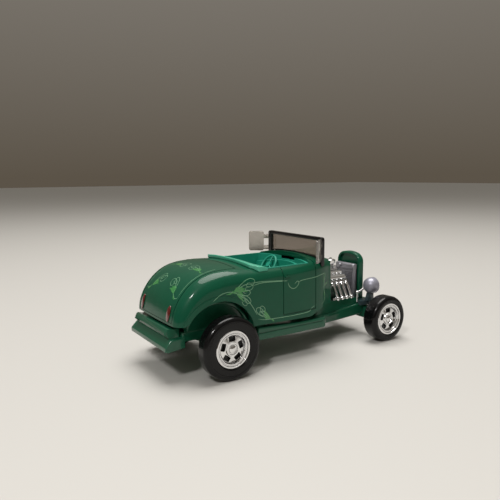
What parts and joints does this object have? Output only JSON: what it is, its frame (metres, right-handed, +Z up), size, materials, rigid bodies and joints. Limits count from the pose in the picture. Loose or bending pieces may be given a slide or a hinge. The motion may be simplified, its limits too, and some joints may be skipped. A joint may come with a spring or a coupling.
{
  "type": "diecast collector car",
  "caption": "Open hot-rod roadster toy car: painted cast body, exposed bright engine, smoked windshield with side wings, moulded cockpit and rolling slotted wheels.",
  "frame": {"origin": "on the ground plane under the middle of the car's length and width", "axes": "+X towards the nose, +Y towards the car's left side, +Z up"},
  "size_m": [0.0586, 0.0274, 0.0248],
  "materials": {
    "body_paint": "deep green gloss lacquer over cast metal, fine pinstripes",
    "chassis_paint": "green satin-gloss paint over cast metal",
    "cockpit_plastic": "moulded teal plastic, satin",
    "frame_black": "black gloss moulding",
    "smoke_clear": "smoke-tinted clear moulding",
    "bright_plating": "vacuum-plated bright chrome",
    "cast_alloy": "silver cast finish",
    "radiator_silver": "dull silver paint",
    "lamp_silver": "metallic silver-grey paint",
    "bracket_grey": "dark grey moulding",
    "lens_clear": "clear moulded lens",
    "lamp_red": "red lamp lens",
    "tyre_black": "black glossy tyre compound",
    "axle_steel": "bright drawn wire"
  },
  "bodies": {
    "car": {"body_shell": "body_paint", "radiator_shell": "body_paint", "door_handle_left": "body_paint", "door_handle_right": "body_paint", "chassis": "chassis_paint", "front_beam": "chassis_paint", "base_rivets": "axle_steel", "interior_tub": "cockpit_plastic", "bench_seat": "cockpit_plastic", "dashboard": "cockpit_plastic", "steering_column": "cockpit_plastic", "steering_wheel": "cockpit_plastic", "tonneau_roll": "cockpit_plastic", "windshield_frame": "frame_black", "windshield_pane": "smoke_clear", "wind_wing_left": "smoke_clear", "wind_wing_right": "smoke_clear", "engine_block": "cast_alloy", "carburettor": "cast_alloy", "intake": "bright_plating", "air_cleaner": "bright_plating", "grille": "bright_plating", "valve_cover_left": "bright_plating", "valve_cover_right": "bright_plating", "header_left": "bright_plating", "header_right": "bright_plating", "shock_left": "bright_plating", "shock_right": "bright_plating", "radiator_core": "radiator_silver", "cooling_fan": "radiator_silver", "headlight_left": "lamp_silver", "headlight_right": "lamp_silver", "headlight_lens_left": "lens_clear", "headlight_lens_right": "lens_clear", "lamp_stand_left": "bracket_grey", "lamp_stand_right": "bracket_grey", "tail_lamp_left": "lamp_red", "tail_lamp_right": "lamp_red"},
    "front_wheelset": {"front_axle": "axle_steel", "front_rim_left": "bright_plating", "front_rim_right": "bright_plating", "front_tyre_left": "tyre_black", "front_tyre_right": "tyre_black"},
    "rear_wheelset": {"rear_axle": "axle_steel", "rear_rim_left": "bright_plating", "rear_rim_right": "bright_plating", "rear_tyre_left": "tyre_black", "rear_tyre_right": "tyre_black"}
  },
  "joints": [
    {"name": "front_axle_spin", "type": "hinge", "parent": "car", "child": "front_wheelset", "pos_m": [0.02413, 0, 0.00518], "axis": [0, 1, 0], "continuous": true},
    {"name": "rear_axle_spin", "type": "hinge", "parent": "car", "child": "rear_wheelset", "pos_m": [-0.01794, 0, 0.00606], "axis": [0, 1, 0], "continuous": true}
  ]
}
